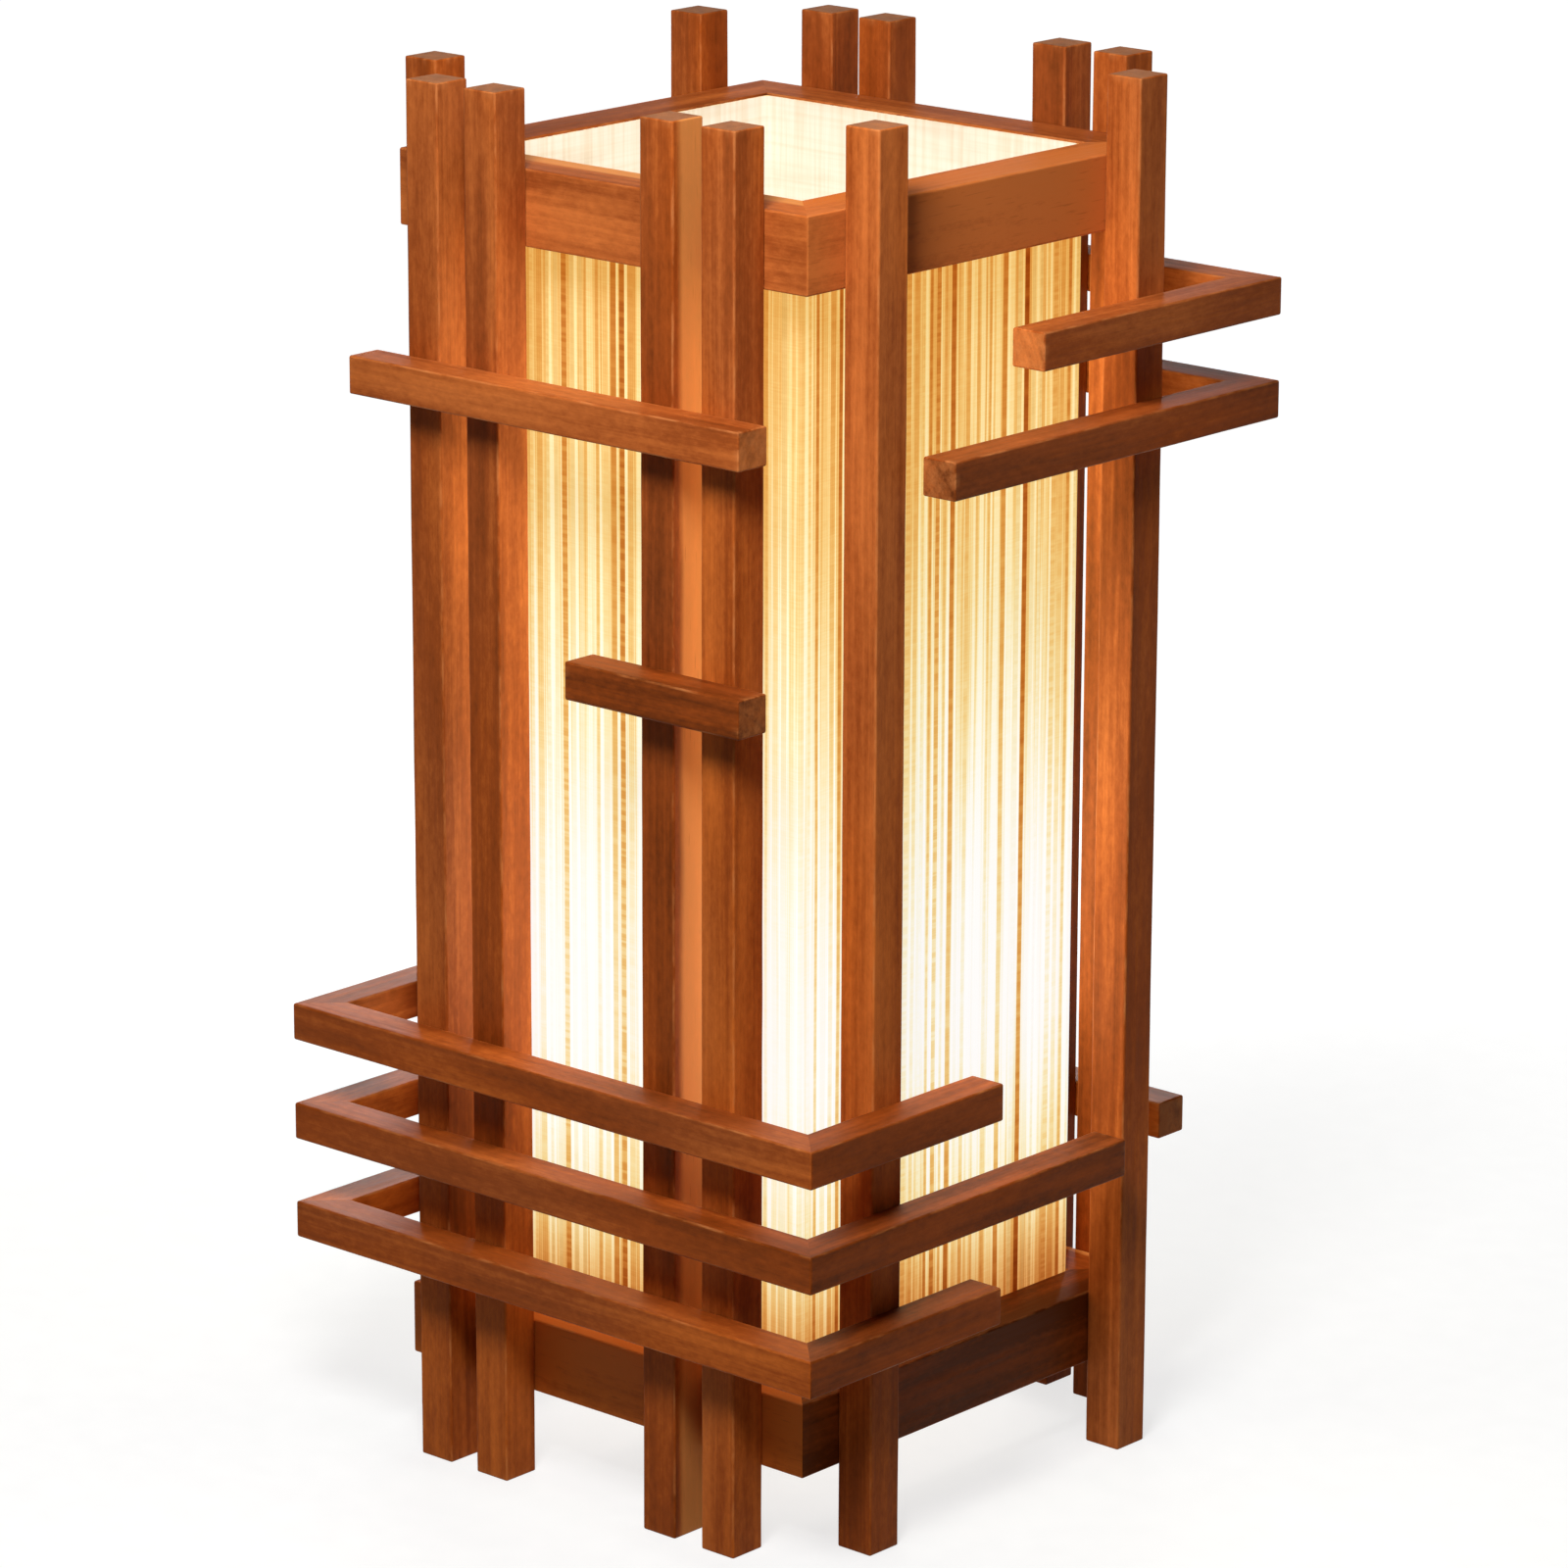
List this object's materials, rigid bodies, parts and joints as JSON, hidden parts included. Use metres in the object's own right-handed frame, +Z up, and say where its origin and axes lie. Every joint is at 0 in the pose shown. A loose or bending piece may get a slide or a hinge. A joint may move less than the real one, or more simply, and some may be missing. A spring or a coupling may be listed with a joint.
{
  "type": "floor lamp",
  "caption": "Square wooden lantern floor lamp: striped fabric shade inside mitred frames, with post legs and bars that wrap round its corners.",
  "frame": {"origin": "centre of the lamp's plan, at the floor under the post feet", "axes": "+Z up; -Y is the front with its two free bars; +X is the right side, seen beside the front"},
  "size_m": [0.3284, 0.3284, 0.664],
  "materials": {
    "frame_wood": "satin reddish brown stain",
    "post_wood": "satin reddish brown stain",
    "bar_wood": "satin reddish brown stain",
    "rail_wood": "plain planed softwood",
    "tenon_wood": "plain planed hardwood",
    "shade_fabric": "cream, ochre and brown woven stripes, lit from inside",
    "shade_liner": "pale translucent sheet with a linen texture, lit",
    "zinc_steel": "zinc plated",
    "holder_plastic": "black moulded",
    "insert_ceramic": "white glazed insulator",
    "contact_brass": "drawn sheet",
    "cap_metal": "rolled thread, satin",
    "cap_insulator": "black vitrite",
    "tip_solder": "tinned",
    "bulb_glass": "frosted, lit"
  },
  "bodies": {
    "lamp": {"base_rail": "rail_wood", "corner_bar_lower_rear_arm": "bar_wood", "corner_bar_lower_right_arm": "bar_wood", "corner_bar_upper_rear_arm": "bar_wood", "corner_bar_upper_right_arm": "bar_wood", "front_high_bar": "bar_wood", "front_post_1": "post_wood", "front_post_2": "post_wood", "front_post_3": "post_wood", "front_post_4": "post_wood", "front_short_bar": "bar_wood", "lampholder_base": "holder_plastic", "lampholder_contact": "contact_brass", "lampholder_insert": "insert_ceramic", "lampholder_screw_shell": "contact_brass", "lampholder_sleeve": "holder_plastic", "left_post_1": "post_wood", "left_post_2": "post_wood", "loose_tenons": "tenon_wood", "low_bar_bottom_front": "bar_wood", "low_bar_bottom_left_arm": "bar_wood", "low_bar_bottom_right_arm": "bar_wood", "low_bar_middle_front": "bar_wood", "low_bar_middle_left_arm": "bar_wood", "low_bar_middle_right_arm": "bar_wood", "low_bar_top_front": "bar_wood", "low_bar_top_left_arm": "bar_wood", "low_bar_top_right_arm": "bar_wood", "lower_frame_front": "frame_wood", "lower_frame_left": "frame_wood", "lower_frame_rear": "frame_wood", "lower_frame_right": "frame_wood", "rail_cleats": "rail_wood", "rail_screws": "zinc_steel", "rear_low_bar": "bar_wood", "rear_post_1": "post_wood", "rear_post_2": "post_wood", "rear_post_3": "post_wood", "rear_post_4": "post_wood", "right_post_1": "post_wood", "right_post_2": "post_wood", "shade_fabric_front": "shade_fabric", "shade_fabric_left": "shade_fabric", "shade_fabric_rear": "shade_fabric", "shade_fabric_right": "shade_fabric", "shade_liner_front": "shade_liner", "shade_liner_left": "shade_liner", "shade_liner_rear": "shade_liner", "shade_liner_right": "shade_liner", "stem_nuts": "zinc_steel", "stem_tube": "zinc_steel", "stem_washers": "zinc_steel", "upper_frame_front": "frame_wood", "upper_frame_left": "frame_wood", "upper_frame_rear": "frame_wood", "upper_frame_right": "frame_wood"},
    "bulb": {"bulb_cap": "cap_metal", "bulb_glass": "bulb_glass", "bulb_insulator": "cap_insulator", "bulb_tip": "tip_solder"}
  },
  "joints": [
    {"name": "bulb_lift", "type": "slide", "parent": "lamp", "child": "bulb", "axis": [0, 0, 1], "range_m": [0, 0.028]}
  ]
}
